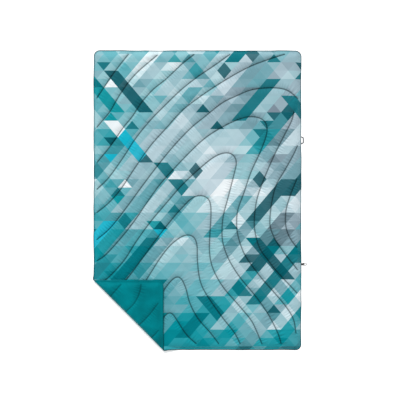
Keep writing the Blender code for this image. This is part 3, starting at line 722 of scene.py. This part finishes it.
def drawnSteel():
    # drawn stainless wire: bright, with fine lines along its length
    material, tree, shader = newMaterial("drawn_stainless_steel")
    place = addNode(tree, "TexCoord").outputs["Object"]
    lines = addNode(tree, "Mapping", {0: place, 3: (6000.0, 6000.0, 200.0)})
    lines = addNode(tree, "TexNoise", {"Vector": lines, "Scale": 1.0, "Detail": 2.0})
    rough = addNode(tree, "MapRange", {0: lines.outputs[0], 3: 0.2, 4: 0.4})
    tree.links.new(rough.outputs[0], shader.inputs["Roughness"])
    shader.inputs["Base Color"].default_value = linear("#C9CBCC")
    shader.inputs["Metallic"].default_value = 1.0
    return material


def battingFibre():
    # polyester batting: white, matt and cloudy
    material, tree, shader = newMaterial("polyester_batting")
    place = addNode(tree, "TexCoord").outputs["Object"]
    cloud = addNode(tree, "TexNoise", {"Vector": place, "Scale": 160.0, "Detail": 6.0})
    colour = addNode(tree, "ValToRGB", {0: cloud.outputs[0]},
                     ("scale", (0.3, "#DFE2E1"), (0.7, "#F5F6F5")))
    tree.links.new(colour.outputs[0], shader.inputs["Base Color"])
    bump = addNode(tree, "Bump", {"Height": cloud.outputs[0], "Strength": 0.8, "Distance": 0.002})
    tree.links.new(bump.outputs[0], shader.inputs["Normal"])
    shader.inputs["Roughness"].default_value = 0.95
    return material


def newPiece(name, data, material):
    piece = bpy.data.objects.new(name, data)
    bpy.context.scene.collection.objects.link(piece)
    data.materials.append(material)
    return piece


def sheetPiece(name, places, triangles, flat, shape, material):
    # a cloth as a mesh, with its flat cut kept as a UV map in metres
    mesh = bpy.data.meshes.new(name)
    mesh.from_pydata(places.tolist(), [], triangles)
    mesh.shade_smooth()
    layer = mesh.uv_layers.new(name="cloth")
    corner = np.zeros(len(mesh.loops), int)
    mesh.loops.foreach_get("vertex_index", corner)
    layer.data.foreach_set("uv", flat[corner].ravel())
    trio = np.array(triangles)
    runs = shape["run"][trio]
    changes = trio[np.ptp(runs, axis=1) > fabric["runJump"]]
    gather = 1 - smoothStep((shape["gap"] - fabric["gatherStart"]) / fabric["gatherFade"])
    gather[changes.ravel()] = 0
    for label, values in (("seamRun", shape["run"]), ("seamGap", shape["gap"]),
                          ("hemInset", shape["inset"]), ("gather", gather)):
        mesh.attributes.new(label, "FLOAT", "POINT").data.foreach_set("value", values.astype(np.float32))
    return newPiece(name, mesh, material)


def makeCloths(routes, seams):
    flat, triangles = clothPlan(routes, seams, plan["seamRows"], 1)
    shape = clothShape(flat, seams)
    print("cloth plan:", len(flat), "points,", len(triangles), "triangles")
    moved = flat + wander(flat, shape["inset"])
    up = [tuple(t) for t in triangles]
    down = [tuple(reversed(t)) for t in triangles]
    face = sheetPiece("face_cloth", placeFace(moved, shape["face"], shape["fold"]), up, flat, shape,
                      printedRipstop())
    back = sheetPiece("back_cloth", placeBack(moved, shape["back"], shape["fold"]), down, flat, shape,
                      plainRipstop())
    return face, back


battingPad = {"faceClear": 0.0030, "backClear": 0.0026, "thinnest": 0.0004, "hemClear": 0.016,
              "foldClear": 0.003, "rows": (0.012, 0.028), "coarse": 2.6}


def makeBatting(routes, seams, side, material):
    # the filling on one side of the fold, kept clear of both cloths
    flat, triangles = clothPlan(routes, seams, battingPad["rows"], battingPad["coarse"])
    shape = clothShape(flat, seams)
    foldClear = cloth["foldReach"] + battingPad["foldClear"]
    wanted = (shape["inset"] > battingPad["hemClear"]) & (side * shape["fold"] > foldClear)
    low = shape["back"] + 0.8 * (shape["wrinkle"] + shape["ruffle"]) + battingPad["backClear"]
    high = shape["face"] - shape["wrinkle"] - shape["ruffle"] - battingPad["faceClear"]
    high = np.maximum(high, low + battingPad["thinnest"])
    bottom = placeFace(flat, low, shape["fold"])
    top = placeFace(flat, high, shape["fold"])
    bm = bmesh.new()
    mark = bm.verts.layers.int.new("flat")
    verts = {}
    for triangle in triangles:
        if all(wanted[k] for k in triangle):
            for k in triangle:
                if k not in verts:
                    verts[k] = bm.verts.new(bottom[k])
                    verts[k][mark] = k
            bm.faces.new([verts[k] for k in reversed(triangle)])
    raised = bmesh.ops.extrude_face_region(bm, geom=bm.faces[:], use_keep_orig=True)["geom"]
    for vert in raised:
        if isinstance(vert, bmesh.types.BMVert):
            vert.co = top[vert[mark]]
    bmesh.ops.recalc_face_normals(bm, faces=bm.faces)
    name = "batting_fill" if side > 0 else "corner_batting_fill"
    mesh = bpy.data.meshes.new(name)
    bm.to_mesh(mesh)
    bm.free()
    mesh.shade_smooth()
    return newPiece(name, mesh, material)


stitching = {"length": 0.0034, "gap": 0.0011, "radius": 0.0004, "lift": 0.0003, "dip": 0.0004,
             "foldClear": 0.026, "hemInset": 0.0065}


def stitchPiece(name, lines, seams, side, onFace, material):
    # one short thread for each stitch that shows on one side of the fold
    curve = bpy.data.curves.new(name, "CURVE")
    curve.dimensions = "3D"
    curve.bevel_depth = stitching["radius"]
    curve.bevel_resolution = 0
    curve.use_fill_caps = True
    pitch = stitching["length"] + stitching["gap"]
    shares = np.array((-0.5, -0.22, 0.22, 0.5)) * stitching["length"]
    lifts = np.array((-stitching["dip"], stitching["lift"], stitching["lift"], -stitching["dip"]))
    place = placeFace if onFace else placeBack
    for line in lines:
        run = np.append(0, np.cumsum(np.linalg.norm(np.diff(line, axis=0), axis=1)))
        middles = np.arange(pitch / 2, run[-1], pitch)
        places = (middles[:, None] + shares[None, :]).ravel()
        flat = np.column_stack([np.interp(places, run, line[:, k]) for k in (0, 1)])
        shape = clothShape(flat, seams)
        outward = np.tile(lifts, len(middles))
        height = shape["face"] + outward if onFace else shape["back"] - outward
        spots = place(flat + wander(flat, shape["inset"]), height, shape["fold"]).reshape(-1, 4, 3)
        clear = (side * shape["fold"].reshape(-1, 4) > stitching["foldClear"]).all(axis=1)
        for stitch in spots[clear]:
            spline = curve.splines.new("POLY")
            spline.points.add(3)
            for point, spot, girth in zip(spline.points, stitch, (0.5, 1.0, 1.0, 0.5)):
                point.co = (*spot, 1.0)
                point.radius = girth
    return newPiece(name, curve, material)


tack = {"passes": 9, "girth": 0.00022}


def tackPiece(name, node, material):
    # a bar tack: a close zigzag of thread over the webbing's end
    low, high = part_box(node)
    curve = bpy.data.curves.new(name, "CURVE")
    curve.dimensions = "3D"
    curve.bevel_depth = tack["girth"]
    curve.bevel_resolution = 1
    curve.use_fill_caps = True
    spline = curve.splines.new("POLY")
    count = tack["passes"] * 2
    spline.points.add(count)
    for k, point in enumerate(spline.points):
        y = low.y + (high.y - low.y) * k / count
        x = low.x if k % 2 else high.x
        point.co = (x, y, (low.z + high.z) / 2, 1.0)
    return newPiece(name, curve, material)


moulding = {"voxel": 0.00022, "smoothing": 4}


def softenedCopy(node, name, voxel, smoothing, material):
    # a copy of a CAD node's mesh with its edges rounded over, as a mould or a loom leaves them
    bm = bmesh.new()
    bm.from_mesh(frame["nodes"][node].data)
    bmesh.ops.remove_doubles(bm, verts=bm.verts, dist=1e-6)
    mesh = bpy.data.meshes.new(name)
    bm.to_mesh(mesh)
    bm.free()
    piece = newPiece(name, mesh, material)
    remesh = piece.modifiers.new("Remesh", "REMESH")
    remesh.mode = "VOXEL"
    remesh.voxel_size = voxel
    smooth = piece.modifiers.new("Smooth", "SMOOTH")
    smooth.factor = 0.5
    smooth.iterations = smoothing
    evaluated = piece.evaluated_get(bpy.context.evaluated_depsgraph_get())
    final = bpy.data.meshes.new_from_object(evaluated)
    piece.modifiers.clear()
    piece.data = final
    final.materials.clear()
    final.materials.append(material)
    final.shade_smooth()
    return piece


studio = {
    "lens": 100.0,
    "height": 7.07,
    "aim": (0.0162, 0.0010),
    "keyFrom": (-0.16, 0.62, 0.74),   # a broad soft key from beyond the top edge
    "keySpread": 18,                  # degrees
    "keyStrength": 2.45,
    "skyStrength": 0.54,
    "floorGlow": 0.35,                # the floor gives off a little light, so shadows stay faint
    "floorDrop": 0.0006,              # below the blanket's underside
}


def makeStudio():
    bpy.context.scene.view_settings.view_transform = "Standard"
    camera = bpy.data.objects.new("camera", bpy.data.cameras.new("camera"))
    camera.data.lens = studio["lens"]
    camera.location = (*studio["aim"], studio["height"])
    bpy.context.scene.collection.objects.link(camera)
    bpy.context.scene.camera = camera

    world = bpy.data.worlds.new("studio")
    world.use_nodes = True
    world.node_tree.nodes["Background"].inputs[0].default_value = (1.0, 1.0, 1.0, 1.0)
    world.node_tree.nodes["Background"].inputs[1].default_value = studio["skyStrength"]
    bpy.context.scene.world = world
    key = bpy.data.objects.new("key", bpy.data.lights.new("key", "SUN"))
    key.data.energy = studio["keyStrength"]
    key.data.angle = math.radians(studio["keySpread"])
    key.rotation_euler = Vector(studio["keyFrom"]).to_track_quat("Z", "Y").to_euler()
    bpy.context.scene.collection.objects.link(key)

    bm = bmesh.new()
    bmesh.ops.create_grid(bm, x_segments=1, y_segments=1, size=20)
    bmesh.ops.translate(bm, verts=bm.verts, vec=(0, 0, -studio["floorDrop"]))
    mesh = bpy.data.meshes.new("floor")
    bm.to_mesh(mesh)
    bm.free()
    # white background paper: matt, with almost no highlight
    material, _, shader = newMaterial("white_paper")
    shader.inputs["Base Color"].default_value = linear("#F7F7F7")
    shader.inputs["Emission Color"].default_value = (1.0, 1.0, 1.0, 1.0)
    shader.inputs["Emission Strength"].default_value = studio["floorGlow"]
    shader.inputs["Roughness"].default_value = 0.9
    shader.inputs["Specular IOR Level"].default_value = 0.1
    newPiece("floor", mesh, material)


makeStudio()
print("studio ready")

routes = sewnRoutes()
seams = SeamMap(routes)
face, back = makeCloths(routes, seams)
print("cloths ready")

fibre = battingFibre()
mainPad = makeBatting(routes, seams, 1, fibre)
cornerPad = makeBatting(routes, seams, -1, fibre)
print("batting ready")

hemLine = outlineRing(stitching["hemInset"])
hemLine = evenly(np.vstack([hemLine, hemLine[:1]]), plan["runStep"])
faceThread = spunThread("slate_polyester_thread", "#2F5359")
backThread = spunThread("teal_polyester_thread", "#03525A")
for name, lines, nodes in (("quilt_stitching", routes, "quilt_stitch"),
                           ("hem_stitching", [hemLine], "hem_topstitch")):
    for side, body in ((1, "blanket"), (-1, "corner")):
        for onFace in (True, False):
            label = f"{name}_{body}_{'face' if onFace else 'back'}"
            piece = stitchPiece(label, lines, seams, side, onFace, faceThread if onFace else backThread)
            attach(piece, body)
            shown = [n for n in frame["nodes"] if n.startswith(nodes if side > 0 else "corner_" + nodes)]
            if onFace:
                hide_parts(*shown)
print("stitching ready")

for node in ("bartack_loop_upper", "bartack_loop_lower", "bartack_clip"):
    piece = tackPiece(node + "_thread", node, faceThread)
    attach(piece, "blanket")
    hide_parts(node)

webbing = wovenWebbing("grey_polyester_webbing", "#3A3F44")
blackWebbing = wovenWebbing("black_polyester_webbing", "#17181A")
for node, material in (("loop_tail_upper", webbing), ("loop_tail_lower", webbing),
                       ("clip_tail", blackWebbing)):
    frame["nodes"][node].data.materials.clear()
    frame["nodes"][node].data.materials.append(material)
acetal = mouldedAcetal()
for node, name, body, material, voxel, smoothing in (
        ("loop_webbing", "loop_strip", "loop", webbing, 0.0003, 3),
        ("strap_webbing", "clip_strap_strip", "clip_strap", blackWebbing, 0.0002, 2),
        ("clip_body", "clip_moulding", "clip", acetal, moulding["voxel"], moulding["smoothing"]),
        ("clip_gate", "gate_moulding", "gate", acetal, moulding["voxel"], 2)):
    piece = softenedCopy(node, name, voxel, smoothing, material)
    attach(piece, body)
    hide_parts(node)
frame["nodes"]["gate_pin"].data.materials.clear()
frame["nodes"]["gate_pin"].data.materials.append(drawnSteel())
print("webbing and clip ready")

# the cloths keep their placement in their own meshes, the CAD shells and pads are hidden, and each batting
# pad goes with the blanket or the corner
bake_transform(face)
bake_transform(back)
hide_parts("face_shell", "corner_face_shell")
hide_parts("back_shell", "corner_back_shell")
for pad, body, node in ((mainPad, "blanket", "batting"), (cornerPad, "corner", "corner_batting")):
    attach(pad, body)
    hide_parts(node)
